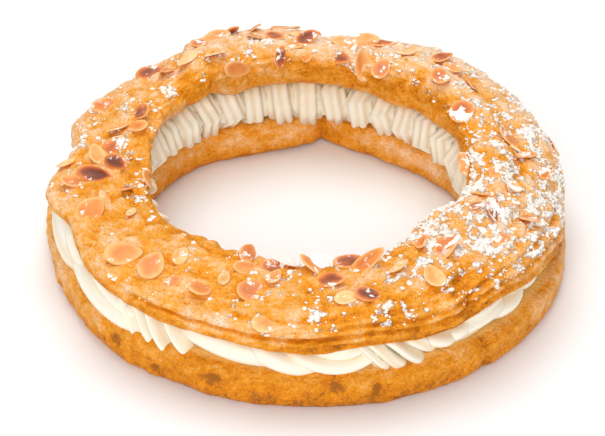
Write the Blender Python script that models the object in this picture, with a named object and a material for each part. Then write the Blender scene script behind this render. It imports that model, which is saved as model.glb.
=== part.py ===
"""Paris-Brest: a large ring of choux pastry, cut level, with piped praline cream between base and lid.

Metres, +Z up. The ring lies flat on Z = 0 with its hole round the Z axis. Angles run round
the ring from +X. Each of the three solids starts as a torus primitive, whose points are moved
to a cross-section that changes round the ring.
"""

import math

import bpy
from mathutils import Vector, noise

MM = 0.001

# Driving dimensions.
RING_R = 130 * MM  # outer radius of the pastry
BASE_MID_R = 0.830 * RING_R
BASE_HALF_W = 0.170 * RING_R
LID_MID_R = 0.790 * RING_R
LID_HALF_W = 0.210 * RING_R
CREAM_MID_R = 0.800 * RING_R
CREAM_HALF_W = 0.168 * RING_R
BASE_H = 0.150 * RING_R
LID_TOP = 0.420 * RING_R
LIP_RISE = 6.5 * MM  # from the lid's lowest edge up to its widest point
CLEARANCE = 0.8 * MM  # between two solids that rest on each other, more than their facets' sag

# The cream is one rope from a star nozzle, laid round the ring in close folds.
CREAM_FOLDS = 44
FOLD_DEPTH = 2.6 * MM
RIDGE_DEPTH = 0.8 * MM  # of the grooves along the lid

# Where the piped pastry starts and ends, in degrees round the ring.
LID_JOINTS = (-54, 128)
BASE_JOINTS = (-53, 86)

# Facets round the ring and round the section.
LID_STEPS = (96, 28)
BASE_STEPS = (60, 12)
CREAM_STEPS = (264, 8)


def signed_power(value, power):
    """|value| ** power, with value's sign."""
    return math.copysign(abs(value) ** power, value)


def mix(first, second, share):
    return first + (second - first) * share


def bump(theta, degrees, width):
    """1 at an angle round the ring, falling to 0 within about twice the width, in degrees."""
    away = (math.degrees(theta) - degrees + 180) % 360 - 180
    return math.exp(-((away / width) ** 2))


def lumps(theta, across, seed, scale):
    """Smooth noise from about -1 to 1 that joins up round the ring. scale is lumps per radius."""
    place = Vector((math.cos(theta) * scale, math.sin(theta) * scale, across + seed))
    return noise.noise(place)


def joint_depth(theta, joints, width):
    """How far the surface sinks where two ends of a piped strand meet, 0 to 1."""
    return max(bump(theta, joint, width) for joint in joints)


# The heights and widths that change round the ring. The lid dips onto the base at +X, where the
# cream runs out, and lifts off it at -X. It was laid a little towards +X and +Y.


def base_top(theta):
    return BASE_H - 2.0 * MM * math.cos(theta) + 1.0 * MM * lumps(theta, 0, 3.1, 3)


def base_reach(theta):
    """How far the base swells outwards."""
    swollen = 2.5 * bump(theta, 178, 12) - 1.5 * bump(theta, 204, 14)
    return swollen * MM + 1.2 * MM * lumps(theta, 0, 1.3, 3)


def base_hole(theta):
    """How far the hole in the base widens. The two ends of the strand draw back at the joint."""
    narrower = 4.0 * bump(theta, 110, 14) + 4.0 * bump(theta, 54, 18)
    return (6.0 * bump(theta, 86, 7) - narrower) * MM


def lid_outer_edge(theta):
    """The lowest point of the lid's outer lip."""
    lifted = 9.8 * bump(theta, 207, 26) + 4.0 * bump(theta, 170, 14) + 2.6 * bump(theta, 248, 14)
    arched = 3.2 * bump(theta, 283, 8) + 5.5 * bump(theta, 311, 9) + 1.2 * bump(theta, 332, 14)
    dipped = 12 * bump(theta, 351, 13)
    return (29.3 + lifted + arched - dipped) * MM + 0.8 * MM * lumps(theta, 0, 7.7, 4)


def lid_inner_edge(theta):
    """The lowest point of the lid's lip round the hole, lower at the front than at the back."""
    waves = 4.0 * bump(theta, 158, 11) - 3.0 * bump(theta, 56, 8) + 3.0 * bump(theta, 128, 4)
    slope = 5.5 * math.sin(theta) - 2.0 * math.cos(theta)
    return (39.5 + slope + waves) * MM + 1.2 * MM * lumps(theta, 0, 9.4, 4)


def lid_top(theta):
    """The crown, with two humps at the back and a dip at -X."""
    humps = 8.5 * bump(theta, 108, 24) + 6.5 * bump(theta, 48, 26) + 3.0 * bump(theta, 128, 9)
    dips = 3.0 * bump(theta, 186, 26) + 3.0 * bump(theta, 262, 34)
    return LID_TOP + (2.0 * math.sin(theta) + humps - dips) * MM


def lid_reach(theta):
    """How far the lid swells outwards. It is drawn in towards -X, at two tucks."""
    tucks = 11 * bump(theta, 174, 10) + 7.0 * bump(theta, 205, 9)
    return (3.0 * bump(theta, 42, 20) - 1.5 * bump(theta, 20, 9) - tucks) * MM + 1.0 * MM * lumps(
        theta, 0, 2.4, 4
    )


def lid_hole(theta):
    """How far the hole in the lid widens into its inner edge."""
    narrower = 3.6 * bump(theta, 92, 42) + 8.0 * bump(theta, 320, 14) + 3.0 * bump(theta, 184, 10)
    wider = 2.0 * bump(theta, 214, 14) + 3.5 * bump(theta, 292, 9) + 2.5 * bump(theta, 24, 9)
    return (4.2 + wider - narrower) * MM


def lid_across(theta, radius):
    """Where a radius falls across the lid: -1 at the hole, 0 in its middle and 1 at its outer edge."""
    away = radius - LID_MID_R
    if away < 0:
        return away / (LID_HALF_W - lid_hole(theta))
    return away / (LID_HALF_W + lid_reach(theta))


def lid_under(theta, across):
    """Underside of the lid's middle, where across runs from -1 at the hole to 1 outside."""
    return mix(lid_inner_edge(theta), lid_outer_edge(theta), (across + 1) / 2)


def base_point(theta, phi):
    """A point of the base's skin: a low bun with a flat foot and a nearly flat, cut top."""
    across = signed_power(math.cos(phi), 0.45 if phi > 0 else 0.70)
    up = signed_power(math.sin(phi), 0.40 if phi > 0 else 0.55)
    radius = BASE_MID_R + BASE_HALF_W * across
    radius += base_reach(theta) * max(across, 0) + base_hole(theta) * max(-across, 0)
    if up > 0:
        radius += 0.8 * MM * lumps(theta, across, 5.2, 7)
    belly = 0.52 * base_top(theta)
    height = belly + (base_top(theta) - belly) * up if up > 0 else belly * (1 + 1.28 * up)
    sunk = 2.2 * MM * joint_depth(theta, BASE_JOINTS, 2.6)
    radius -= math.copysign(sunk, across) * abs(across)
    return radius, max(height, 0.0)


def ridges(theta, phi):
    """The grooves that a star nozzle leaves along the outer face of the lid, from -1 to 1."""
    outside = max(0.0, math.cos(phi))
    return math.cos(6 * phi + 0.5 * math.sin(2 * theta)) * outside


def lid_point(theta, phi):
    """A point of the lid's skin: a dome over the ring, with a rounded lip each side."""
    across = signed_power(math.cos(phi), 0.85)
    up = signed_power(math.sin(phi), 0.75)
    radius = LID_MID_R + LID_HALF_W * across
    radius += lid_reach(theta) * max(across, 0) + lid_hole(theta) * max(-across, 0)
    lip = lid_under(theta, across)
    if up < 0:
        return radius, lip + LIP_RISE * (1 + up)
    edge = lip + LIP_RISE
    crown = lid_top(theta) - (lid_under(theta, 0) + LIP_RISE)
    height = edge + crown * up
    swell = 1.6 * MM * lumps(theta, across * 1.5, 8.8, 5) + RIDGE_DEPTH * ridges(theta, phi)
    swell -= 2.6 * MM * joint_depth(theta, LID_JOINTS, 3.0)
    return radius + swell * across, height + swell * up


def cream_point(theta, phi):
    """A point of the cream's skin: folds hang over the base on the inside and lean on the outside."""
    across = signed_power(math.cos(phi), 0.60)
    up = signed_power(math.sin(phi), 0.60)
    lean = theta + 0.08 * max(across, 0) * up
    fold = abs(math.sin(CREAM_FOLDS * lean / 2)) ** 0.7 - 0.5
    wander = 0.9 * MM * lumps(theta, across, 4.6, 9)
    radius = CREAM_MID_R + (CREAM_HALF_W + FOLD_DEPTH * fold + wander) * across
    floor = base_top(theta) + CLEARANCE
    roof = lid_under(theta, lid_across(theta, radius)) - CLEARANCE
    return radius, mix(floor, roof, (up + 1) / 2)


def pastry_material(name, colour, roughness):
    material = bpy.data.materials.new(name)
    material.use_nodes = True
    shader = material.node_tree.nodes["Principled BSDF"]
    shader.inputs["Base Color"].default_value = (*colour, 1)
    shader.inputs["Roughness"].default_value = roughness
    return material


def ring(name, steps, point, material, collection):
    """A torus primitive whose points are moved to point(theta, phi), which gives radius and height."""
    tube_r = 0.25
    bpy.ops.mesh.primitive_torus_add(
        major_segments=steps[0], minor_segments=steps[1], major_radius=1, minor_radius=tube_r
    )
    made = bpy.context.object
    made.name = made.data.name = name
    for vertex in made.data.vertices:
        x, y, z = vertex.co
        theta = math.atan2(y, x)
        phi = math.atan2(z, math.hypot(x, y) - 1)
        radius, height = point(theta, phi)
        vertex.co = (radius * math.cos(theta), radius * math.sin(theta), height)
    made.data.materials.append(material)
    made.data.shade_smooth()
    for held_by in made.users_collection:
        held_by.objects.unlink(made)
    collection.objects.link(made)
    return made


def centre_on_origin(rings):
    """Moves the rings together, so that the middle of their box lies over the origin."""
    corners = [vertex.co for made in rings for vertex in made.data.vertices]
    shift = Vector((0, 0, 0))
    for axis in (0, 1):
        places = [corner[axis] for corner in corners]
        shift[axis] = -(min(places) + max(places)) / 2
    for made in rings:
        for vertex in made.data.vertices:
            vertex.co += shift


def main():
    for leftover in list(bpy.data.objects):
        bpy.data.objects.remove(leftover)
    collection = bpy.data.collections.new("paris_brest")
    bpy.context.scene.collection.children.link(collection)
    crust = pastry_material("baked choux", (0.80, 0.42, 0.13), 0.55)
    praline = pastry_material("praline cream", (0.90, 0.82, 0.66), 0.38)
    centre_on_origin(
        [
            ring("choux_base", BASE_STEPS, base_point, crust, collection),
            ring("cream", CREAM_STEPS, cream_point, praline, collection),
            ring("choux_lid", LID_STEPS, lid_point, crust, collection),
        ]
    )


main()
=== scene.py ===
"""Looks of a Paris-Brest: a puffed choux ring, piped cream, flaked almonds and icing sugar.

Lengths are in millimetres until a mesh is finished, when mm() turns them into metres. Angles run
round the ring from +X. Each ring starts as a torus, and functions of the angle round the ring
(theta) and round its section (phi) move its points.
"""

import itertools
import math
import random

import bmesh
import bpy
import numpy as np
from mathutils import Matrix, Vector, noise
from mathutils.bvhtree import BVHTree


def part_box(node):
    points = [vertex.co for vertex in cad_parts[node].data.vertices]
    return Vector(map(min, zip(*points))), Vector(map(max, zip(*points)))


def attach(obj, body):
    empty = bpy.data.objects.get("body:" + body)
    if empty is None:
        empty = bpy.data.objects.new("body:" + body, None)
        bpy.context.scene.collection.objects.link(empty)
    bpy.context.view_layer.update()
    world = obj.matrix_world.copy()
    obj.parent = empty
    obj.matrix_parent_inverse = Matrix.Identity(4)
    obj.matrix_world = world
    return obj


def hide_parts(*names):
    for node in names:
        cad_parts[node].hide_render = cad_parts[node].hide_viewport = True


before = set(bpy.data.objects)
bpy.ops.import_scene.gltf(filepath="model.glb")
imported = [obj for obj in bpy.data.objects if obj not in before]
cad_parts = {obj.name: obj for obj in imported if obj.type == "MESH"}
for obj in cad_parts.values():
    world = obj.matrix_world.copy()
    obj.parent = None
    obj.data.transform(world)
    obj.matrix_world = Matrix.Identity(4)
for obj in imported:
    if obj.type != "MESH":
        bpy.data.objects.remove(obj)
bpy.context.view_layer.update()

MM = 0.001
DEG = math.pi / 180

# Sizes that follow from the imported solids.
BASE_LOW, BASE_HIGH = (np.array(corner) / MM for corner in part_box("choux_base"))
RING_R = (BASE_HIGH[1] - BASE_LOW[1]) / 2

BASE_MID_R = 0.830 * RING_R
BASE_HALF_W = 0.170 * RING_R
LID_MID_R = 0.790 * RING_R
LID_HALF_W = 0.210 * RING_R
BASE_H = 0.150 * RING_R
LID_TOP = 0.420 * RING_R
LIP_RISE = 6.5

LID_STEPS = (1080, 144)
BASE_STEPS = (900, 96)

# The cream rope: how often it is laid over and back, and its star nozzle.
LOOPS = 38
ROPE_R = 8.2
POINTS_OF_STAR = 8


# ---------------------------------------------------------------- shape helpers


def mm(points):
    return points * MM


def signed_power(values, power):
    return np.sign(values) * np.abs(values) ** power


def bump(theta, degrees, width):
    """1 at an angle round the ring, falling to 0 within about twice the width, in degrees."""
    away = (theta / DEG - degrees + 180) % 360 - 180
    return np.exp(-((away / width) ** 2))


def side_of(theta, degrees, width):
    """-1 before an angle round the ring and 1 after it, turning over within the width."""
    away = (theta / DEG - degrees + 180) % 360 - 180
    return np.tanh(away / width)


def smooth(low, high, values):
    share = np.clip((values - low) / (high - low), 0, 1)
    return share * share * (3 - 2 * share)


GRADIENTS = np.random.RandomState(5).normal(size=(256, 3))
GRADIENTS /= np.linalg.norm(GRADIENTS, axis=1, keepdims=True)


def gradient_noise(places):
    cell = np.floor(places).astype(np.int64)
    inside = places - cell
    fade = inside**3 * (inside * (inside * 6 - 15) + 10)
    total = np.zeros(len(places))
    for corner in itertools.product((0, 1), repeat=3):
        key = (cell + corner) @ np.array((73856093, 19349663, 83492791))
        slope = GRADIENTS[((key ^ (key >> 11)) * 2654435761 >> 7) & 255]
        share = np.where(corner, fade, 1 - fade).prod(axis=1)
        total += share * (slope * (inside - corner)).sum(axis=1)
    return 1.5 * total


def field(points, size, seed, octaves=1):
    """Smooth noise from about -1 to 1 at each point. size is one lump across, in mm."""
    places = np.asarray(points) / size + seed * np.array((31.7, -17.3, 7.9))
    return sum(0.54**octave * gradient_noise(places * 2**octave) for octave in range(octaves))


def billows(points, size, seed):
    """Round bumps with valleys between them: 0 in a valley, up to about 1 on a bump."""
    bend = 0.35 * size * np.stack([field(points, size * 1.7, seed + n) for n in (0.3, 0.6, 0.9)], axis=1)
    return np.minimum(2.2 * np.abs(field(points + bend, size, seed)), 1.3)


def lumps(theta, seed, scale):
    """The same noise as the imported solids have, by angle. scale is lumps per radius."""
    turns = np.linspace(0, 2 * math.pi, 721)
    values = [noise.noise(Vector((math.cos(t) * scale, math.sin(t) * scale, seed))) for t in turns]
    return np.interp(np.asarray(theta) % (2 * math.pi), turns, values)


def on_ring(theta, radius, height):
    return np.stack([radius * np.cos(theta), radius * np.sin(theta), height], axis=1)


# ---------------------------------------------------------------- heights round the ring


def base_top(theta):
    return BASE_H - 2.0 * np.cos(theta) + 1.0 * lumps(theta, 3.1, 3)


def base_reach(theta):
    return 2.5 * bump(theta, 178, 12) - 1.5 * bump(theta, 204, 14) + 1.2 * lumps(theta, 1.3, 3)


def base_hole(theta):
    return 6.0 * bump(theta, 86, 7) - 4.0 * bump(theta, 110, 14) - 4.0 * bump(theta, 54, 18)


def lid_outer_edge(theta):
    lifted = 9.8 * bump(theta, 207, 26) + 4.0 * bump(theta, 170, 14) + 2.6 * bump(theta, 248, 14)
    arched = 3.2 * bump(theta, 283, 8) + 5.5 * bump(theta, 311, 9) + 1.2 * bump(theta, 332, 14)
    return 29.3 + lifted + arched - 12 * bump(theta, 351, 13) + 0.8 * lumps(theta, 7.7, 4)


def lid_inner_edge(theta):
    waves = 4.0 * bump(theta, 158, 11) - 3.0 * bump(theta, 56, 8) + 3.0 * bump(theta, 128, 4)
    return 39.5 + 5.5 * np.sin(theta) - 2.0 * np.cos(theta) + waves + 1.2 * lumps(theta, 9.4, 4)


def lid_top(theta):
    humps = 8.5 * bump(theta, 108, 24) + 6.5 * bump(theta, 48, 26) + 3.0 * bump(theta, 128, 9)
    dips = 3.0 * bump(theta, 186, 26) + 3.0 * bump(theta, 262, 34)
    return LID_TOP + 2.0 * np.sin(theta) + humps - dips


def lid_reach(theta):
    tucks = 11 * bump(theta, 174, 10) + 7.0 * bump(theta, 205, 9)
    return 3.0 * bump(theta, 42, 20) - 1.5 * bump(theta, 20, 9) - tucks + 1.0 * lumps(theta, 2.4, 4)


def lid_hole(theta):
    """How far the hole in the lid widens into its inner edge."""
    narrower = 3.6 * bump(theta, 92, 42) + 8.0 * bump(theta, 320, 14) + 3.0 * bump(theta, 184, 10)
    wider = 2.0 * bump(theta, 214, 14) + 3.5 * bump(theta, 292, 9) + 2.5 * bump(theta, 24, 9)
    return 4.2 + wider - narrower


def lid_radius(theta, across):
    reach = lid_reach(theta) * np.maximum(across, 0) + lid_hole(theta) * np.maximum(-across, 0)
    return LID_MID_R + LID_HALF_W * across + reach


def lid_across(theta, radius):
    """Where a radius falls across the lid: -1 at the hole, 0 in its middle and 1 at its outer edge."""
    away = radius - LID_MID_R
    return away / (LID_HALF_W + np.where(away < 0, -lid_hole(theta), lid_reach(theta)))


def lid_under(theta, across):
    inner, outer = lid_inner_edge(theta), lid_outer_edge(theta)
    return inner + (outer - inner) * (across + 1) / 2


# ---------------------------------------------------------------- meshes


def torus(name, steps):
    """A torus primitive, with the two angles of each of its points."""
    bpy.ops.mesh.primitive_torus_add(
        major_segments=steps[0], minor_segments=steps[1], major_radius=1, minor_radius=0.25
    )
    piece = bpy.context.object
    piece.name = piece.data.name = name
    points = read(piece)
    theta = np.arctan2(points[:, 1], points[:, 0]) % (2 * math.pi)
    phi = np.arctan2(points[:, 2], np.hypot(points[:, 0], points[:, 1]) - 1)
    return piece, theta, phi


def read(piece):
    points = np.empty(len(piece.data.vertices) * 3)
    piece.data.vertices.foreach_get("co", points)
    return points.reshape(-1, 3)


def write(piece, points):
    piece.data.vertices.foreach_set("co", mm(points).ravel())
    piece.data.shade_smooth()
    piece.data.update()


def paint(piece, name, values):
    """Stores one number for each point, for the piece's material to read."""
    layer = piece.data.attributes.new(name, "FLOAT", "POINT")
    layer.data.foreach_set("value", np.asarray(values, np.float32))


def finish_piece(piece, material, node):
    piece.data.materials.clear()
    piece.data.materials.append(material)
    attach(piece, "root")
    if node:
        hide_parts(node)
    return piece


# ---------------------------------------------------------------- choux


# Grooves that the star nozzle left along the outside of the lid: degrees round the section from
# its widest line, depth in mm, width in degrees, and the degrees round the ring that it spans.
GROOVES = (
    (16, 2.2, 4.6, 232, 350),
    (50, 1.6, 6.0, 248, 342),
    (33, 2.0, 4.6, 276, 350),
    (1, 1.7, 4.6, 270, 356),
    (67, 1.5, 5.5, 284, 338),
)


def nozzle_grooves(theta, angle, wander):
    """How deep the lid's grooves are, in mm. angle is in degrees and wander moves them sideways."""
    turn = theta / DEG
    depth = 0 * angle
    for number, (place, deep, wide, first, last) in enumerate(GROOVES):
        spans = smooth(first - 9, first + 9, turn) * (1 - smooth(last - 9, last + 9, turn))
        drift = wander * (4 + number) + 0.12 * (turn - 300) * (place / 50 - 0.5)
        depth += deep * spans * np.exp(-(((angle - place - drift) / wide) ** 2))
    return depth


def soft_folds(arc, pitch):
    """Round folds with narrow valleys between them, from -1 to 1."""
    return 1 - 2 * (1 - np.abs(np.sin(math.pi * arc / pitch))) ** 1.6


def lid_shape(theta, phi):
    """(points, baking colour with painted shade and highlight, sugar, crumb) of the lid's skin."""
    across = signed_power(np.cos(phi), 0.85)
    up = signed_power(np.sin(phi), 0.75)
    top = np.maximum(up, 0)
    radius = lid_radius(theta, across)
    lip = lid_under(theta, across)
    crown = lid_top(theta) - (lid_under(theta, 0 * across) + LIP_RISE)
    height = np.where(up < 0, lip + LIP_RISE * (1 + up), lip + LIP_RISE + crown * top)
    rough = on_ring(theta, radius, height)

    # Grooves of the star nozzle, clear at the front and right.
    angle = (phi / DEG + 180) % 360 - 180
    wander = field(rough, 70, 1)
    jog = 1.0 * side_of(theta, 307, 1.5) * bump(theta, 307, 30)
    grooved = nozzle_grooves(theta, angle, wander + jog)
    grooved *= (1.15 + 0.5 * field(rough, 24, 11)).clip(0.4, 1.7)
    front = bump(theta, 292, 40)
    outside = smooth(-42, -18, angle) * (1 - smooth(60, 95, angle))
    inside = smooth(100, 125, angle) * (1 - smooth(165, 180, angle))
    lines = 0.5 - 0.5 * soft_folds(angle * 0.52 + 2 * wander, 6.5)
    ridge = 1.0 * front * outside - grooved - 0.7 * lines * inside * bump(theta, 95, 50)

    # Puffing, from the size of a thumb down to a crumb.
    puffed = billows(rough, 11, 4)
    blister = billows(rough, 4.6, 14)
    puff = 2.0 * field(rough, 34, 2) + 1.3 * field(rough, 14, 3)
    puff += 1.4 * (puffed - 0.5) + 0.9 * (blister - 0.5)
    puff *= (0.40 + 0.60 * smooth(0, 60, angle)) * (1 - 0.45 * front * outside)
    puff += 0.28 * field(rough, 2.4, 15, 2)

    # The seam between the inner and the outer piped strand.
    seam_line = 88 + 14 * field(rough, 40, 5)
    seam = np.exp(-(((angle - seam_line) / 7) ** 2))
    seam *= 0.10 + 1.15 * bump(theta, 0, 28) + 0.20 * bump(theta, 215, 40) + 0.45 * bump(theta, 318, 14)

    # Ends of the piped strands.
    slant = theta + 0.08 * (across - 0.6) + 0.035 * field(rough, 12, 6) + 0.012 * field(rough, 4, 16)
    crack = bump(slant, 307, 0.9) * smooth(-15, 10, angle) * (1 - smooth(66, 92, angle))
    torn = bump(slant, 307, 4.5) * smooth(-15, 10, angle) * (1 - smooth(66, 92, angle))
    step_slant = theta + 0.16 * across + 0.02 * field(rough, 16, 17)
    start = bump(step_slant, 131, 2.2)
    step = side_of(step_slant, 131, 1.2) * bump(theta, 131, 14) * np.maximum(up, 0)
    notch = bump(theta + 0.12 * across, 40, 1.8) * smooth(110, 150, angle % 360)
    cover = sugar_cover(rough, up, theta)

    out = ridge + puff - 2.4 * seam - 4.6 * crack - 2.4 * start - 2.2 * step - 1.6 * notch
    out += torn * (1.2 * field(rough, 5, 18) + 0.8 * field(rough, 2.5, 19))
    out += cover * (0.35 + 0.4 * field(rough, 2.2, 13))
    out += 1.3 * bump(slant, 303.6, 2.2) * outside + 1.0 * bump(slant, 311, 3) * outside
    radius = radius + out * np.cos(phi) * np.where(up < 0, 0.6, 1)
    height = height + out * np.where(up > 0, up, 0.25 * up)
    edge = np.exp(-(((angle + 25) / 30) ** 2)) + np.exp(-((((angle % 360) - 205) / 30) ** 2))
    height += edge * (0.9 * field(rough, 11, 7) + 0.5 * field(rough, 4, 8))
    inner_lip = np.exp(-((((angle % 360) - 200) / 28) ** 2))
    sagging = bump(theta, 119, 6) - 0.6 * bump(theta, 129, 4) + 0.5 * bump(theta, 36, 5)
    height -= 3.0 * inner_lip * sagging

    points = on_ring(theta, radius, height)

    # How far into a crease between blisters each point lies, for painted shade.
    crease_shade = 1 - smooth(0.0, 0.42, blister)
    # Darker on the downward-facing lip and paler on upward faces: partly baking colour, partly a painted
    # sheen on the faces turned to the light.
    tone_and_painted_light = 0.38 + 0.36 * (1 - smooth(-22, 20, angle % 360 - 360 * (angle % 360 > 270)))
    # Painted shade in the nozzle's grooves, and a painted highlight on the upper outer faces that turn
    # to the light.
    tone_and_painted_light += 0.14 * grooved * outside
    tone_and_painted_light -= 0.13 * outside * (1 - smooth(20, 62, angle)) * smooth(-5, 14, angle)
    # Darker on the inner face, with painted shade in its grooves.
    tone_and_painted_light += inside * (0.10 + 0.08 * lines)
    # Painted shade in the crack, the seam, the notch and the groove where a strand starts.
    tone_and_painted_light += 0.40 * crack + 0.05 * torn + 0.20 * start + 0.28 * seam + 0.2 * notch
    tone_and_painted_light += 0.13 * field(rough, 26, 9, 2) + 0.09 * field(rough, 7, 10, 2)
    # Painted shade in the creases between blisters, and a painted highlight on the puffs.
    tone_and_painted_light += 0.18 * crease_shade - 0.20 * (puffed - 0.5) - 0.13 * field(rough, 14, 3)
    # Painted highlight on the outer right edge, and a little on the left.
    tone_and_painted_light -= 0.16 * bump(theta, 8, 40) * np.maximum(across, 0) + 0.04 * bump(theta, 190, 45)
    # Painted shade on the front outside and the front left.
    tone_and_painted_light += 0.10 * bump(theta, 292, 30) * outside + 0.05 * bump(theta, 215, 45)
    tone_and_painted_light -= 0.36 * bump(theta, 78, 55) * (1 - smooth(128, 165, angle % 360))
    tone_and_painted_light += 0.10 * smooth(140, 172, angle % 360) * (1 - smooth(250, 290, angle % 360))
    tone_and_painted_light -= 0.24 * bump(theta, 326, 18) * smooth(30, 65, angle)
    tone_and_painted_light = np.minimum(tone_and_painted_light, 0.78 + 0.25 * (tone_and_painted_light - 0.78))
    crumb = smooth(-0.62, -0.9, up)
    return points, tone_and_painted_light, cover, crumb


# Where the lid was dusted: degrees round the ring, how much, and the width in degrees.
SUGARED = (
    (346, 0.56, 30),
    (321, 0.48, 14),
    (20, 0.30, 18),
    (298, 0.24, 22),
    (60, 0.10, 22),
    (268, 0.10, 20),
    (158, 0.14, 22),
    (100, 0.17, 30),
)


def sugar_cover(points, up, theta):
    """How thickly icing sugar lies, 0 to 1: heavy at the right, in patches elsewhere."""
    amount = 0.10 + sum(share * bump(theta, place, width) for place, share, width in SUGARED)
    amount = amount.clip(0.02, 0.72)
    clumps = 0.50 * field(points, 9, 21) + 0.60 * field(points, 4.0, 22) + 0.45 * field(points, 1.9, 23)
    least = 0.27 * np.log((1 - amount) / amount) / 1.7
    return smooth(0.15, 0.65, up) * smooth(least - 0.20, least + 0.38, clumps)


# Burst bubbles on the outside of the base: degrees round the ring, height and size in mm.
BUBBLES = ((251, 13, 3.0), (276, 15, 2.4), (284, 12, 2.2), (227, 13, 2.4), (238, 8, 1.6))


def base_shape(theta, phi):
    """(points, baking colour with painted shade and highlight, crumb) of the base's skin."""
    across = signed_power(np.cos(phi), np.where(phi > 0, 0.45, 0.70))
    up = signed_power(np.sin(phi), np.where(phi > 0, 0.40, 0.55))
    top = base_top(theta)
    radius = BASE_MID_R + BASE_HALF_W * across
    radius += base_reach(theta) * np.maximum(across, 0) + base_hole(theta) * np.maximum(-across, 0)
    belly = 0.52 * top
    height = np.where(up > 0, belly + (top - belly) * up, belly * (1 + 1.28 * up))
    rough = on_ring(theta, radius, height)

    wall = 1 - smooth(0.55, 0.95, np.abs(up))
    outside, inner = np.maximum(across, 0), np.maximum(-across, 0)
    puffed = billows(rough, 12, 32)
    blister = billows(rough, 4.4, 33)
    puff = 1.5 * field(rough, 30, 31) + 0.2 * field(rough, 2.2, 44)
    puff += 1.1 * (puffed - 0.5) + 0.45 * (blister - 0.5)
    fold = soft_folds(height + 2.5 * field(rough, 45, 34), 9.0) * 0.35 * wall
    wrinkles = field(np.stack([theta * RING_R / 3.0, height / 16, 0 * theta], axis=1), 1, 41, 2)
    smooth_side = bump(theta, 338, 24) * outside
    puff = puff * (1 - 0.7 * smooth_side) + 0.35 * wrinkles * smooth_side * wall
    lap = side_of(theta, 87, 0.9) * bump(theta, 87, 14) * inner
    joint = bump(theta, 86, 1.1) * inner + bump(theta - 0.06 * across, 306, 1.1) * outside
    bubbles = sum(
        np.exp(-((((theta / DEG - place) * 2.1) ** 2 + (height - level) ** 2) / size**2))
        for place, level, size in BUBBLES
    )
    bubbles *= smooth(0.3, 0.6, across)
    out = puff * (0.35 + 0.65 * wall) + fold - 1.8 * joint + 2.4 * lap
    out -= 1.6 * np.minimum(bubbles * 1.6, 1)
    radius = radius + out * np.cos(phi)
    height = height + 0.5 * out * np.maximum(up, 0)
    rim = np.exp(-(((up - 0.85) / 0.22) ** 2))
    torn = 1.1 * field(rough, 9, 35) + 0.7 * field(rough, 3.2, 36) + 0.9 * field(rough, 22, 42)
    height += rim * torn
    lifted = 4.5 * bump(theta, 93, 10) * inner * np.maximum(-up, 0)
    height = np.maximum(height, lifted)

    points = on_ring(theta, radius, height)
    tone_and_painted_light = 0.42 + 0.26 * (1 - smooth(0.2, 0.6, height / top)) + 0.22 * joint - 0.06 * lap
    tone_and_painted_light += 0.10 * field(rough, 22, 37, 2) + 0.08 * field(rough, 6, 38, 2)
    # Painted shade in the creases between blisters and a painted highlight on the puffs; a little darker
    # at the rim and paler on the inner side.
    tone_and_painted_light += 0.10 * (1 - smooth(0, 0.42, blister)) - 0.12 * (puffed - 0.5) + 0.04 * rim - 0.06 * inner
    tone_and_painted_light -= (0.26 * bump(theta, 40, 30) + 0.10 * bump(theta, 150, 25)) * inner
    # Painted highlight on the outer right and left sides, where the light falls.
    tone_and_painted_light -= 0.22 * (bump(theta, 345, 26) + bump(theta, 190, 30)) * outside
    # Painted shadow at the lower front, as cast by the rim of a tray.
    tone_and_painted_light += 0.38 * bump(theta, 270, 50) * outside * (1 - smooth(0.25, 0.90, height / top))
    spots = smooth(0.55, 0.72, field(rough, 9, 39) + 0.25 * field(rough, 3, 40))
    tone_and_painted_light += 0.22 * spots * wall
    tone_and_painted_light = np.minimum(tone_and_painted_light, 0.62 + 0.30 * (tone_and_painted_light - 0.62))
    # Painted shade inside the pits of the burst bubbles.
    tone_and_painted_light += 0.62 * np.minimum(bubbles * 1.3, 1)
    crumb = smooth(0.90, 0.985, up)
    return points, tone_and_painted_light, crumb


def choux_lid(material):
    piece, theta, phi = torus("lid_crust", LID_STEPS)
    points, tone_and_painted_light, sugar, crumb = lid_shape(theta, phi)
    write(piece, points + shift_of("choux_lid", points))
    paint(piece, "browning_and_painted_light", tone_and_painted_light)
    paint(piece, "sugar", sugar)
    paint(piece, "crumb", crumb)
    return finish_piece(piece, material, "choux_lid")


def choux_base(material):
    piece, theta, phi = torus("base_crust", BASE_STEPS)
    points, tone_and_painted_light, crumb = base_shape(theta, phi)
    write(piece, points + shift_of("choux_base", points))
    paint(piece, "browning_and_painted_light", tone_and_painted_light)
    paint(piece, "sugar", 0 * tone_and_painted_light)
    paint(piece, "crumb", crumb)
    return finish_piece(piece, material, "choux_base")


def shift_of(node, points):
    """The way, in the plane, from the middle of these points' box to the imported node's."""
    low, high = (np.array(corner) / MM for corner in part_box(node))
    way = (low + high) / 2 - (points.min(axis=0) + points.max(axis=0)) / 2
    way[2] = 0
    return way


# ---------------------------------------------------------------- cream


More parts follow.
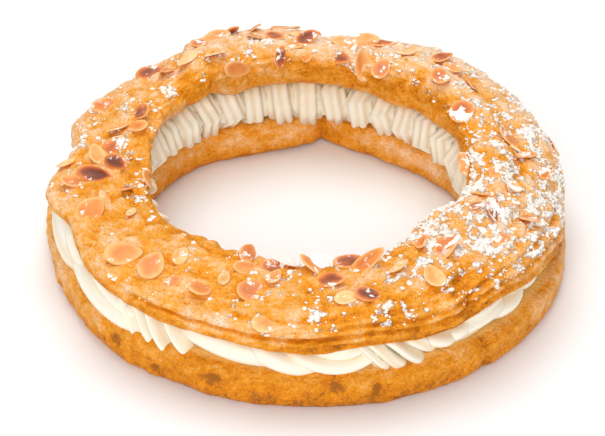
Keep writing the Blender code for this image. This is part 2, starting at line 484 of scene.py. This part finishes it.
def rope_line(turn):
    """Middle of the cream rope after a share of the ring, from 0 to 1: loops over the base and back."""
    along = turn * 2 * math.pi
    loop = LOOPS * along
    held = along + np.sin(loop) / LOOPS  # hardly moves while the rope is at the hole
    ring = np.stack([np.cos(held), np.sin(held), 0 * held], axis=1)
    wobble = field(ring * 60, 6.5, 51)
    sway = field(ring * 60, 9, 52)
    over = np.cos(loop)
    rise = -np.sin(loop)
    outside = (1 + over) / 2
    theta = along + 0.10 * (-rise) * outside**1.5 + 0.030 * wobble + 0.035 * sway * rise * (1 - outside)
    box = signed_power(over, np.where(over < 0, 0.62, 0.40))
    inner_r, outer_r = 86.5 + 2.0 * wobble, 109.0 + 1.0 * sway
    radius = inner_r + (outer_r - inner_r) * (box + 1) / 2
    hanging = 2.0 + 8.0 * bump(theta, 14, 13) + 1.5 * bump(theta, 150, 30)
    floor = base_top(theta) + 5.2 + 1.2 * sway - hanging * (1 - outside)
    roof = np.maximum(lid_under(theta, lid_across(theta, radius)) - 3.5, floor + 0.5)
    height = floor + (roof - floor) * (signed_power(rise, 0.85) + 1) / 2
    return on_ring(theta, radius, height)


# Folds of cream laid one by one, on the outside at the front and then in the hole at the left: degrees
# round the ring, length and height in mm, how high it sits between base and lid from 0 to 1, how
# far in mm it falls to the right and its ends curl up, and the radius of its middle.
FOLDS = (
    (194, 60, 27, 0.46, 8, 0, 120.0),
    (205, 34, 14, 0.60, 8, 0, 118.5),
    (220, 66, 15, 0.12, 5, 1, 120.5),
    (223, 48, 11, 0.62, 8, 1, 119.0),
    (229, 19, 9, 0.44, 22, 0, 119.5),
    (233, 19, 9, 0.42, 22, 0, 120.0),
    (237, 19, 9, 0.42, 21, 0, 120.0),
    (241, 20, 9, 0.44, 18, 0, 119.5),
    (254, 54, 17, 0.42, 3, 0, 118.5),
    (265, 40, 13, 0.22, 7, 0, 119.0),
    (276.5, 46, 11, 0.12, 0, 7, 120.0),
    (277.5, 32, 9, 0.52, 0, 5, 118.5),
    (277.5, 22, 6, 0.80, 0, 3, 117.5),
    (283.5, 22, 9, 0.46, 17, 0, 119.5),
    (287, 24, 9, 0.42, 18, 0, 120.3),
    (291, 24, 9, 0.44, 15, 0, 120.0),
    (295.5, 20, 10, 0.52, 8, 0, 119.0),
    (300, 20, 10, 0.40, 4, 0, 119.5),
    (305, 16, 10, 0.34, -2, 0, 118.5),
    (311, 44, 10, 0.30, -3, 0, 119.5),
    (313, 34, 8, 0.72, -4, 0, 118.0),
    (321, 32, 11, 0.34, -3, 0, 119.5),
    (325, 24, 8, 0.70, -2, 0, 118.5),
    (332, 26, 9, 0.40, -2, 0, 118.5),
    (176, 20, 12, 0.35, -10, 0, 83.0),
    (190, 20, 11, 0.45, -8, 0, 83.0),
    (203, 18, 9, 0.75, -6, 0, 82.0),
)


def lobe(bm, painted_shade, degrees, length, tall, level, drop, curl, middle_r, luck):
    """One fold of cream, with the hollow faces and sharp ridges of a star nozzle."""
    made = bmesh.ops.create_uvsphere(bm, u_segments=36, v_segments=18, radius=1)
    flutes = luck.choice((2, 2.5, 3))
    phase = luck.uniform(0, 6)
    turn = Matrix.Rotation(math.pi / 2, 3, "Y")
    share, side, up = np.array([turn @ vertex.co for vertex in made["verts"]]).T
    around = np.arctan2(up, side)
    full = np.maximum(np.hypot(side, up), 1e-6)
    hollow = (0.5 + 0.5 * np.cos(flutes * around + 1.2 * share + phase)) ** 2
    ridged = full**0.5 / full * (1 - 0.20 * hollow)
    theta = degrees * DEG + share * length / 2 / middle_r
    low, high = base_top(theta), lid_under(theta, lid_across(theta, middle_r)) + 1.5
    height = low + (high - low) * level - drop / 2 * np.sin(share * math.pi / 2) + curl * share**2
    height += up * ridged * tall / 2
    radius = middle_r - 2.4 * share**2 + 0.11 * drop * share + side * ridged * 7.6
    radius -= 6.0 * bump(theta, 352, 17)
    # Painted shade in the hollows between flutes and at the tucked-under ends.
    shaded = np.maximum(hollow * 0.75, smooth(0.5, 1.0, np.abs(share)))
    for vertex, spot, shade in zip(made["verts"], on_ring(theta, radius, height), shaded):
        vertex.co = spot * MM
        vertex[painted_shade] = shade


def outer_folds(way):
    luck = random.Random(23)
    bm = bmesh.new()
    # Painted shade for each point, which the cream's material turns into a golden tint.
    painted_shade = bm.verts.layers.float.new("painted_shade")
    for fold in FOLDS:
        lobe(bm, painted_shade, *fold, luck)
    degrees = 338
    while degrees < 360 + 184:
        length = luck.uniform(26, 38)
        gap = float(lid_outer_edge(degrees * DEG) - base_top(degrees * DEG))
        level, drop = luck.uniform(0.4, 0.6), gap * luck.uniform(0.4, 0.7)
        lobe(bm, painted_shade, degrees, length, min(0.8 * gap + 2.5, 15), level, drop, 0, 118, luck)
        degrees += length * luck.uniform(0.26, 0.34)
    bmesh.ops.translate(bm, vec=Vector(way * MM), verts=bm.verts[:])
    bmesh.ops.recalc_face_normals(bm, faces=bm.faces[:])
    return new_object("cream_lobes", bm)


def cream(material):
    """One fluted rope laid in loops round the ring, over a smooth core that closes the gaps."""
    piece, theta, alpha = torus("piped_cream", (LOOPS * 44, 40))
    turns, which = np.unique(np.round(theta / (2 * math.pi), 7), return_inverse=True)
    line = rope_line(turns)
    step = 1e-5
    ahead = rope_line(turns + step) - rope_line(turns - step)
    ahead /= np.linalg.norm(ahead, axis=1, keepdims=True)
    around = np.arctan2(line[:, 1], line[:, 0])
    height = (base_top(around) + lid_under(around, 0 * around)) / 2
    out = line - on_ring(around, 0 * around + 103.5, height)
    out -= ahead * (out * ahead).sum(axis=1, keepdims=True)
    out /= np.linalg.norm(out, axis=1, keepdims=True)
    across = np.cross(ahead, out)

    line, out, across = line[which], out[which], across[which]
    ring = np.stack([np.cos(theta), np.sin(theta), 0 * theta], axis=1)
    twist = 0.9 * field(ring * 60, 11, 53)
    flute = np.abs(np.sin(POINTS_OF_STAR / 2 * alpha + twist)) ** 0.7
    size = ROPE_R * (0.72 + 0.34 * flute) * (1 + 0.07 * field(line, 9, 54))
    points = line + size[:, None] * (np.cos(alpha)[:, None] * out + np.sin(alpha)[:, None] * across)

    core, core_theta, core_phi = torus("cream_core", (360, 20))
    radius = 104 + 13.5 * signed_power(np.cos(core_phi), 0.6)
    radius -= np.maximum(radius - 108, 0) * 0.8 * bump(core_theta, 352, 18)
    low = base_top(core_theta) - 1.0
    high = lid_under(core_theta, lid_across(core_theta, radius)) + 1.0
    filled = low + (high - low) * (signed_power(np.sin(core_phi), 0.6) + 1) / 2
    core_points = on_ring(core_theta, radius, filled)

    # The cream is laid round the origin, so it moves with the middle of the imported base.
    way = shift_of("choux_base", on_ring(core_theta, 0 * core_theta + RING_R, filled))
    write(piece, points + way)
    write(core, core_points + way)
    # Painted shade in the rope's valleys, and all over the core, which lies deep inside.
    paint(piece, "painted_shade", 1 - flute)
    paint(core, "painted_shade", 0 * core_theta + 1)
    lobes = outer_folds(way)
    bpy.ops.object.select_all(action="DESELECT")
    core.select_set(True)
    lobes.select_set(True)
    piece.select_set(True)
    bpy.context.view_layer.objects.active = piece
    bpy.ops.object.join()
    return finish_piece(piece, material, "cream")


# ---------------------------------------------------------------- toppings

# Flakes laid one by one: degrees round the ring, place across the lid from -1 at the hole to 1
# outside, length and width in mm, heading in degrees from +X, tilt in degrees, and toasting. Those
# toasted less than BURIED lie under sugar.
LAID_FLAKES = (
    (138, 0.32, 17, 10, 5, 8, 0.85),
    (310, -0.14, 19, 14, 15, 6, 0.66),
    (257, 0.15, 14, 12, 60, 5, 0.70),
    (332, -0.10, 18, 11, 98, 12, 0.97),
    (190, 0.05, 18, 8, -10, 30, 1.00),
    (188, -0.35, 14, 8, -35, 35, 0.98),
    (107, -0.20, 13, 9, 60, 12, 0.88),
    (90, -0.30, 14, 8, 20, 20, 0.90),
    (77, -0.80, 14, 8, -45, 15, 0.86),
    (48, 0.15, 13, 9, 25, 8, 0.80),
    (284, 0.39, 13, 8, 10, 18, 0.95),
    (277, -0.16, 15, 8, -20, 20, 0.84),
    (275, -0.85, 16, 10, 30, 30, 0.20),
    (284, -0.62, 17, 12, -15, 45, 0.90),
    (288, -0.40, 22, 9, 10, 14, 0.62),
    (272, -0.52, 17, 9, 8, 25, 0.50),
    (264, -0.72, 15, 13, 30, 10, 0.20),
    (162, -0.55, 14, 11, -50, 10, 0.82),
    (22, -0.62, 14, 12, 20, 30, 0.72),
    (10, 0.02, 17, 14, 25, 12, 0.58),
    (2, -0.82, 18, 9, 100, 10, 0.45),
    (68, 0.12, 15, 9, 12, 16, 0.80),
    (73, 0.10, 17, 11, 0, 20, 0.46),
    (61, -0.80, 14, 10, 60, 12, 0.66),
    (69, -0.85, 18, 10, 110, 10, 0.46),
    (101, -0.88, 15, 8, 96, 14, 0.92),
    (96, 0.55, 17, 10, 0, 25, 0.66),
    (117, 0.15, 15, 10, 5, 8, 0.52),
    (119, -0.92, 18, 9, -5, 15, 0.55),
    (191, 0.47, 13, 10, 20, 6, 0.55),
    (177, -0.22, 17, 9, 45, 14, 0.70),
    (206, 0.36, 17, 12, 55, 18, 0.58),
    (225, 0.52, 18, 12, 10, 6, 0.52),
    (233, 0.44, 16, 12, 70, 8, 0.56),
    (246, 0.43, 14, 11, 60, 10, 0.58),
    (262, 0.75, 14, 12, 70, 6, 0.44),
    (335, 0.49, 14, 10, 110, 8, 0.62),
    (13, 0.96, 15, 8, -40, 10, 0.60),
    (156, 0.45, 15, 9, 30, 20, 0.62),
)
BURIED = 0.24
SCATTERED_FLAKES = 46
FLAKE_ROOM = 8
FLAKE_T = 1.1
CLOT_DOUBLINGS = 12  # 4096 clots of icing sugar


def lid_spot(tree, theta, across):
    """Point and normal of the lid's skin under a place on the ring, in metres."""
    radius = (LID_MID_R + LID_HALF_W * across) * MM
    above = Vector((radius * math.cos(theta), radius * math.sin(theta), 0.2))
    point, normal, _, _ = tree.ray_cast(above, Vector((0, 0, -1)))
    if point is None:
        point, normal, _, _ = tree.find_nearest(above - Vector((0, 0, 0.15)))
    return point, normal


def flake(bm, layers, place, length, width, toast, luck):
    """A slice of almond: egg-shaped, about a millimetre thick, slightly cupped."""
    made = bmesh.ops.create_uvsphere(bm, u_segments=24, v_segments=10, radius=1)
    cup = luck.uniform(-1.0, 2.2)
    curl = luck.uniform(-1.2, 1.2)
    shift = luck.uniform(0, 100)
    rim_layer, toast_layer, sugar_layer = layers
    for vertex in made["verts"]:
        x, y, z = vertex.co
        reach = math.hypot(x, y)
        ragged = 1 + 0.05 * noise.noise(Vector((x * 2.2, y * 2.2, shift)))
        egg = (1 - 0.20 * x) * (1 - 0.16 * x * x)
        along, side = x * length / 2 * ragged, y * width / 2 * egg * ragged
        thick = math.copysign(abs(z) ** 0.35, z) * FLAKE_T / 2
        bend = cup * (reach**2 - 0.4) * 0.55 + curl * x * y * 0.6
        bend += 0.35 * noise.noise(Vector((x * 1.3, y * 1.3, shift + 9)))
        vertex.co = place @ (Vector((along, side, thick + bend)) * MM)
        vertex[rim_layer] = reach
        vertex[toast_layer] = toast + 0.18 * noise.noise(Vector((x * 1.6, y * 1.6, shift + 5)))
        vertex[sugar_layer] = 1.0 if toast < BURIED else 0.0
    return made["verts"]


def flake_place(tree, theta, across, heading, tilt, tilt_way):
    """Matrix that lays a flake on the lid."""
    point, normal = lid_spot(tree, theta, across)
    ahead = Vector((math.cos(heading), math.sin(heading), 0))
    ahead = (ahead - normal * ahead.dot(normal)).normalized()
    side = normal.cross(ahead)
    turn = Matrix((ahead, side, normal)).transposed().to_4x4()
    lean = Matrix.Rotation(tilt, 4, Vector((math.cos(tilt_way), math.sin(tilt_way), 0)))
    lift = (0.5 + 3.0 * abs(math.sin(tilt))) * MM
    return Matrix.Translation(point + normal * lift) @ turn @ lean


def almonds(material, lid):
    """Toasted almond flakes, some laid one by one and the rest strewn over the top of the lid."""
    luck = random.Random(7)
    tree = BVHTree.FromObject(lid, bpy.context.evaluated_depsgraph_get())
    bm = bmesh.new()
    layers = [bm.verts.layers.float.new(name) for name in ("rim", "toast", "sugar")]
    taken = []
    for degrees, across, length, width, heading, tilt, toast in LAID_FLAKES:
        theta = degrees * DEG
        place = flake_place(tree, theta, across, heading * DEG, tilt * DEG, luck.uniform(-0.5, 0.5))
        flake(bm, layers, place, length, width, toast, luck)
        taken.append(place.translation)
    while len(taken) < len(LAID_FLAKES) + SCATTERED_FLAKES:
        theta = luck.uniform(0, 2 * math.pi)
        across = luck.triangular(-1.0, 0.8, -0.1)
        tilt = luck.gauss(0, 12) * DEG
        heading, tilt_way = luck.uniform(0, math.pi), luck.uniform(0, math.pi)
        place = flake_place(tree, theta, across, heading, tilt, tilt_way)
        near = min((place.translation - other).length for other in taken)
        if near < FLAKE_ROOM * MM:
            continue
        size = luck.uniform(0.55, 1.0)
        toast = luck.choice((0.25, 0.4, 0.5, 0.55, 0.6, 0.7, 0.85))
        flake(bm, layers, place, 15 * size, luck.uniform(8, 11) * size, toast, luck)
        taken.append(place.translation)
    bmesh.ops.recalc_face_normals(bm, faces=bm.faces[:])
    piece = new_object("almond_flakes", bm)
    points = read(piece) / MM
    theta = np.arctan2(points[:, 1], points[:, 0]) % (2 * math.pi)
    normals = np.empty(len(points) * 3)
    piece.data.vertices.foreach_get("normal", normals)
    up = normals.reshape(-1, 3)[:, 2]
    cover = sugar_cover(points, up, theta)
    heavy = 0.9 * smooth(0.02, 0.3, field(points, 5, 24) - 0.05) * smooth(0.3, 0.7, up)
    buried = np.empty(len(points), np.float32)
    piece.data.attributes["sugar"].data.foreach_get("value", buried)
    dusted = np.maximum(np.maximum(cover, heavy * 0.7), buried).astype(np.float32)
    piece.data.attributes["sugar"].data.foreach_set("value", dusted)
    return finish_piece(piece, material, None)


def new_object(name, bm):
    mesh = bpy.data.meshes.new(name)
    bm.to_mesh(mesh)
    bm.free()
    mesh.shade_smooth()
    piece = bpy.data.objects.new(name, mesh)
    bpy.context.collection.objects.link(piece)
    return piece


def sugar_lumps(material, lid):
    """Small clots of icing sugar that stand up from the dusting."""
    luck = random.Random(11)
    tree = BVHTree.FromObject(lid, bpy.context.evaluated_depsgraph_get())
    cover = np.empty(len(lid.data.vertices), np.float32)
    lid.data.attributes["sugar"].data.foreach_get("value", cover)
    points = read(lid)
    thick = np.flatnonzero(cover > 0.40)
    bm = bmesh.new()
    bmesh.ops.create_icosphere(bm, subdivisions=1, radius=1)
    for _ in range(CLOT_DOUBLINGS):
        bmesh.ops.duplicate(bm, geom=bm.verts[:] + bm.edges[:] + bm.faces[:])
    piece = new_object("sugar_clots", bm)
    clots = read(piece).reshape(2**CLOT_DOUBLINGS, -1, 3)
    for shape in clots:
        spot = Vector(points[thick[luck.randrange(len(thick))]])
        spot += Vector((luck.gauss(0, 0.6), luck.gauss(0, 0.6), 0)) * MM
        point, normal, _, _ = tree.find_nearest(spot)
        big = luck.random() < 0.25
        size = luck.uniform(0.5, 1.15) if big else luck.uniform(0.25, 0.5)
        flat = size * np.array((luck.uniform(0.8, 1.6), luck.uniform(0.8, 1.6), 0.65))
        rough = [1 + 0.35 * noise.noise(Vector(corner) * size * 2.5 + point * 900) for corner in shape]
        shape *= flat * np.array(rough)[:, None]
        shape += np.array(point / MM + normal * 0.1)
    write(piece, clots.reshape(-1, 3))
    return finish_piece(piece, material, None)


# ---------------------------------------------------------------- shader groups


def feed(tree, made, **values):
    """The node, with its named inputs set to values or linked to other sockets."""
    for name, value in values.items():
        socket = made.inputs[name]
        if isinstance(value, bpy.types.NodeSocket):
            tree.links.new(value, socket)
        else:
            socket.default_value = value
    return made


def linear(*srgb):
    """Linear colour of an sRGB one given as 0 to 255."""
    return tuple(((c / 255 + 0.055) / 1.055) ** 2.4 if c > 10 else c / 255 / 12.92 for c in srgb) + (1,)


def group(name, inputs, outputs):
    tree = bpy.data.node_groups.new(name, "ShaderNodeTree")
    for label, kind, value in inputs:
        socket = tree.interface.new_socket(label, in_out="INPUT", socket_type=kind)
        if value is not None:
            socket.default_value = value
    for label, kind in outputs:
        tree.interface.new_socket(label, in_out="OUTPUT", socket_type=kind)
    return tree, tree.nodes.new("NodeGroupInput"), tree.nodes.new("NodeGroupOutput")


def ramp(tree, factor, stops):
    made = tree.nodes.new("ShaderNodeValToRGB")
    elements = made.color_ramp.elements
    for place, colour in stops[2:]:
        elements.new(place).color = colour
    for element, (place, colour) in zip(elements, sorted(stops)):
        element.position, element.color = place, colour
    tree.links.new(factor, made.inputs["Fac"])
    return made.outputs["Color"]


def math_node(tree, operation, first, second=None, clamp=False):
    made = tree.nodes.new("ShaderNodeMath")
    made.operation = operation
    made.use_clamp = clamp
    for socket, value in zip(made.inputs, (first, second)):
        if value is None:
            continue
        if isinstance(value, bpy.types.NodeSocket):
            tree.links.new(value, socket)
        else:
            socket.default_value = value
    return made.outputs[0]


def mix_colour(tree, factor, first, second):
    made = tree.nodes.new("ShaderNodeMix")
    made.data_type = "RGBA"
    for key, value in (("Factor", factor), ("A", first), ("B", second)):
        socket = next(s for s in made.inputs if s.name == key and s.enabled)
        if isinstance(value, bpy.types.NodeSocket):
            tree.links.new(value, socket)
        else:
            socket.default_value = value
    return next(s for s in made.outputs if s.enabled)


def noise_node(tree, vector, scale, detail, roughness=0.55):
    made = tree.nodes.new("ShaderNodeTexNoise")
    made.inputs["Scale"].default_value = scale
    made.inputs["Detail"].default_value = detail
    made.inputs["Roughness"].default_value = roughness
    tree.links.new(vector, made.inputs["Vector"])
    return made.outputs["Fac"]


def grain_group():
    """Fine mottling of baked choux: a shade from 0 to 1, the height of its relief, and its pores."""
    tree, given, out = group(
        "baked grain",
        [("Position", "NodeSocketVector", None), ("Size", "NodeSocketFloat", 1.0)],
        [("Shade", "NodeSocketFloat"), ("Height", "NodeSocketFloat"), ("Pores", "NodeSocketFloat")],
    )
    place = tree.nodes.new("ShaderNodeVectorMath")
    place.operation = "SCALE"
    tree.links.new(given.outputs["Position"], place.inputs[0])
    tree.links.new(given.outputs["Size"], place.inputs["Scale"])
    spot = place.outputs["Vector"]
    broad = noise_node(tree, spot, 170, 3)
    fine = noise_node(tree, spot, 640, 3, 0.65)
    specks = noise_node(tree, spot, 1500, 2, 0.6)
    cells = tree.nodes.new("ShaderNodeTexVoronoi")
    cells.inputs["Scale"].default_value = 430
    tree.links.new(spot, cells.inputs["Vector"])
    scales = math_node(tree, "MULTIPLY", cells.outputs["Distance"], 0.42)
    shade = math_node(tree, "MULTIPLY", broad, 0.34)
    for part, share in ((fine, 0.38), (specks, 0.28)):
        shade = math_node(tree, "ADD", shade, math_node(tree, "MULTIPLY", part, share))
    pores = math_node(tree, "MULTIPLY", math_node(tree, "SUBTRACT", 0.385, specks), 22, clamp=True)
    patches = math_node(tree, "SUBTRACT", noise_node(tree, spot, 90, 1), 0.38)
    patches = math_node(tree, "MULTIPLY", patches, 6, clamp=True)
    pores = math_node(tree, "MULTIPLY", pores, patches)
    height = math_node(tree, "ADD", shade, scales)
    height = math_node(tree, "SUBTRACT", height, math_node(tree, "MULTIPLY", pores, 0.25))
    tree.links.new(shade, out.inputs["Shade"])
    tree.links.new(height, out.inputs["Height"])
    tree.links.new(pores, out.inputs["Pores"])
    return tree


def dusting_group():
    """Icing sugar over a colour: specks where it is thin and a white crust where it is thick."""
    tree, given, out = group(
        "icing sugar dusting",
        [
            ("Position", "NodeSocketVector", None),
            ("Color", "NodeSocketColor", (0.8, 0.4, 0.1, 1)),
            ("Cover", "NodeSocketFloat", 0.0),
        ],
        [("Color", "NodeSocketColor"), ("Mask", "NodeSocketFloat")],
    )
    spot = given.outputs["Position"]
    clumps = noise_node(tree, spot, 330, 4, 0.7)
    specks = noise_node(tree, spot, 1500, 2, 0.6)
    most = math_node(tree, "MULTIPLY", clumps, 0.65)
    both = math_node(tree, "ADD", most, math_node(tree, "MULTIPLY", specks, 0.35))
    wanted = math_node(tree, "SUBTRACT", 0.76, math_node(tree, "MULTIPLY", given.outputs["Cover"], 0.44))
    mask = math_node(tree, "MULTIPLY", math_node(tree, "SUBTRACT", both, wanted), 9, clamp=True)
    sugar = linear(255, 248, 240)
    tree.links.new(mix_colour(tree, mask, given.outputs["Color"], sugar), out.inputs["Color"])
    tree.links.new(mask, out.inputs["Mask"])
    return tree


def attribute(tree, name):
    made = tree.nodes.new("ShaderNodeAttribute")
    made.attribute_name = name
    return made.outputs["Fac"]


def place_group(tree, made_group, **values):
    made = tree.nodes.new("ShaderNodeGroup")
    made.node_tree = made_group
    return feed(tree, made, **values)


def new_material(name):
    material = bpy.data.materials.new(name)
    material.use_nodes = True
    return material, material.node_tree, material.node_tree.nodes["Principled BSDF"]


CRUST_STOPS = [
    (0.0, linear(255, 218, 184)),
    (1.0, linear(172, 102, 30)),
    (0.20, linear(252, 198, 146)),
    (0.40, linear(246, 176, 90)),
    (0.58, linear(240, 156, 34)),
    (0.80, linear(226, 134, 10)),
]


def crust_material(name, grain, dusting, shift):
    """Baked choux. shift makes it darker (positive) or paler."""
    material, tree, shader = new_material(name)
    spot = tree.nodes.new("ShaderNodeTexCoord").outputs["Object"]
    mottle = place_group(tree, grain, Position=spot, Size=1.0)
    wander = math_node(tree, "MULTIPLY", math_node(tree, "SUBTRACT", mottle.outputs["Shade"], 0.5), 2.3)
    tone_and_painted_light = math_node(tree, "ADD", math_node(tree, "ADD", attribute(tree, "browning_and_painted_light"), wander), shift)
    colour = ramp(tree, tone_and_painted_light, CRUST_STOPS)
    pores = math_node(tree, "MULTIPLY", mottle.outputs["Pores"], 0.7)
    colour = mix_colour(tree, pores, colour, linear(150, 84, 34))
    colour = mix_colour(tree, attribute(tree, "crumb"), colour, linear(246, 196, 112))
    dusted = place_group(tree, dusting, Position=spot, Color=colour, Cover=attribute(tree, "sugar"))
    tree.links.new(dusted.outputs["Color"], shader.inputs["Base Color"])
    rough = math_node(tree, "ADD", 0.50, math_node(tree, "MULTIPLY", dusted.outputs["Mask"], 0.4))
    tree.links.new(rough, shader.inputs["Roughness"])
    powder = math_node(tree, "MULTIPLY", dusted.outputs["Mask"], 0.6)
    relief = math_node(tree, "ADD", mottle.outputs["Height"], powder)
    bumps = tree.nodes.new("ShaderNodeBump")
    bumps.inputs["Strength"].default_value = 0.9
    bumps.inputs["Distance"].default_value = 0.0015
    tree.links.new(relief, bumps.inputs["Height"])
    tree.links.new(bumps.outputs["Normal"], shader.inputs["Normal"])
    shader.inputs["Specular IOR Level"].default_value = 0.15
    shader.inputs["Subsurface Weight"].default_value = 0.12
    shader.inputs["Subsurface Radius"].default_value = (0.004, 0.002, 0.0008)
    return material


def cream_material():
    material, tree, shader = new_material("praline cream")
    spot = tree.nodes.new("ShaderNodeTexCoord").outputs["Object"]
    clouds = noise_node(tree, spot, 45, 3)
    colour = mix_colour(tree, clouds, linear(254, 248, 235), linear(253, 243, 222))
    # Painted shade: a golden tint in the rope's valleys, at the folds' ends and over the core.
    painted_shade_share = math_node(tree, "MULTIPLY", math_node(tree, "POWER", attribute(tree, "painted_shade"), 1.8), 0.78)
    colour = mix_colour(tree, painted_shade_share, colour, linear(234, 204, 150))
    tree.links.new(colour, shader.inputs["Base Color"])
    ripples = tree.nodes.new("ShaderNodeBump")
    ripples.inputs["Strength"].default_value = 0.25
    ripples.inputs["Distance"].default_value = 0.0006
    tree.links.new(noise_node(tree, spot, 380, 3), ripples.inputs["Height"])
    tree.links.new(ripples.outputs["Normal"], shader.inputs["Normal"])
    shader.inputs["Roughness"].default_value = 0.38
    shader.inputs["Subsurface Weight"].default_value = 0.45
    shader.inputs["Subsurface Radius"].default_value = (0.009, 0.007, 0.005)
    return material


ALMOND_STOPS = [
    (0.0, linear(255, 228, 184)),
    (1.0, linear(118, 62, 42)),
    (0.28, linear(252, 190, 118)),
    (0.52, linear(238, 148, 70)),
    (0.72, linear(212, 116, 56)),
    (0.88, linear(160, 82, 46)),
]


def almond_material(grain, dusting):
    """Toasted most in the middle of each flake, with a paler rim."""
    material, tree, shader = new_material("toasted almond")
    spot = tree.nodes.new("ShaderNodeTexCoord").outputs["Object"]
    mottle = place_group(tree, grain, Position=spot, Size=1.6)
    rim = math_node(tree, "POWER", attribute(tree, "rim"), 4)
    pale = math_node(tree, "SUBTRACT", 1, math_node(tree, "MULTIPLY", rim, 0.62))
    roast = math_node(tree, "MULTIPLY", attribute(tree, "toast"), pale)
    wander = math_node(tree, "MULTIPLY", math_node(tree, "SUBTRACT", mottle.outputs["Shade"], 0.5), 0.35)
    colour = ramp(tree, math_node(tree, "ADD", roast, wander), ALMOND_STOPS)
    dusted = place_group(tree, dusting, Position=spot, Color=colour, Cover=attribute(tree, "sugar"))
    tree.links.new(dusted.outputs["Color"], shader.inputs["Base Color"])
    bumps = tree.nodes.new("ShaderNodeBump")
    bumps.inputs["Strength"].default_value = 0.35
    bumps.inputs["Distance"].default_value = 0.0005
    relief = math_node(tree, "ADD", mottle.outputs["Height"], dusted.outputs["Mask"])
    tree.links.new(relief, bumps.inputs["Height"])
    tree.links.new(bumps.outputs["Normal"], shader.inputs["Normal"])
    rough = math_node(tree, "ADD", 0.50, math_node(tree, "MULTIPLY", dusted.outputs["Mask"], 0.4))
    tree.links.new(rough, shader.inputs["Roughness"])
    shader.inputs["Subsurface Weight"].default_value = 0.15
    shader.inputs["Subsurface Radius"].default_value = (0.003, 0.0015, 0.0006)
    return material


def sugar_material():
    material, tree, shader = new_material("icing sugar")
    spot = tree.nodes.new("ShaderNodeTexCoord").outputs["Object"]
    powder = noise_node(tree, spot, 900, 3, 0.7)
    colour = mix_colour(tree, powder, linear(250, 239, 226), linear(255, 250, 244))
    tree.links.new(colour, shader.inputs["Base Color"])
    bumps = tree.nodes.new("ShaderNodeBump")
    bumps.inputs["Strength"].default_value = 0.3
    bumps.inputs["Distance"].default_value = 0.0004
    tree.links.new(powder, bumps.inputs["Height"])
    tree.links.new(bumps.outputs["Normal"], shader.inputs["Normal"])
    shader.inputs["Roughness"].default_value = 0.9
    shader.inputs["Subsurface Weight"].default_value = 0.2
    shader.inputs["Subsurface Radius"].default_value = (0.002, 0.002, 0.002)
    return material


# ---------------------------------------------------------------- stage


def floor():
    bpy.ops.mesh.primitive_plane_add(size=6)
    made = bpy.context.object
    made.name = "floor"
    material, _, shader = new_material("pale floor")
    shader.inputs["Base Color"].default_value = (0.92, 0.92, 0.92, 1)
    shader.inputs["Roughness"].default_value = 0.9
    made.data.materials.append(material)
    made.location.z = -0.0002


def light(name, place, aim, size, power, colour=(1, 1, 1)):
    lamp = bpy.data.lights.new(name, "AREA")
    lamp.shape = "DISK"
    lamp.size = size
    lamp.energy = power
    lamp.color = colour
    made = bpy.data.objects.new(name, lamp)
    bpy.context.collection.objects.link(made)
    made.location = place
    made.rotation_euler = (Vector(aim) - Vector(place)).to_track_quat("-Z", "Y").to_euler()


def lights():
    light("overhead softbox", (-0.08, 0.30, 1.1), (0, 0, 0), 0.9, 7.2)
    light("front fill", (-0.12, -1.10, 0.72), (0, 0, 0.02), 0.8, 7.4)
    world = bpy.data.worlds.new("studio")
    world.use_nodes = True
    world.node_tree.nodes["Background"].inputs["Color"].default_value = (1, 1, 1, 1)
    world.node_tree.nodes["Background"].inputs["Strength"].default_value = 0.53
    bpy.context.scene.world = world


def colour_management():
    bpy.context.scene.view_settings.view_transform = "Standard"


def camera():
    """Looks down on the ring at 35.5 degrees, rolled by 0.8 of a degree, from 6.5 radii away."""
    lens = bpy.data.cameras.new("camera")
    lens.lens = 99
    lens.sensor_width = 36
    lens.clip_start = 0.01
    made = bpy.data.objects.new("camera", lens)
    bpy.context.collection.objects.link(made)
    tilt = 35.5 * DEG
    away = Vector((0, -math.cos(tilt), math.sin(tilt)))
    turned = away.to_track_quat("Z", "Y").to_matrix().to_4x4() @ Matrix.Rotation(0.8 * DEG, 4, "Z")
    place = Vector((-0.0015, 0, 0.0145)) + away * 6.5 * RING_R * MM
    made.matrix_world = Matrix.Translation(place) @ turned
    bpy.context.scene.camera = made


grain = grain_group()
dusting = dusting_group()
lid = choux_lid(crust_material("baked choux, lid", grain, dusting, 0.0))
choux_base(crust_material("baked choux, base", grain, dusting, 0.12))
cream(cream_material())
almonds(almond_material(grain, dusting), lid)
sugar_lumps(sugar_material(), lid)
floor()
lights()
camera()
colour_management()
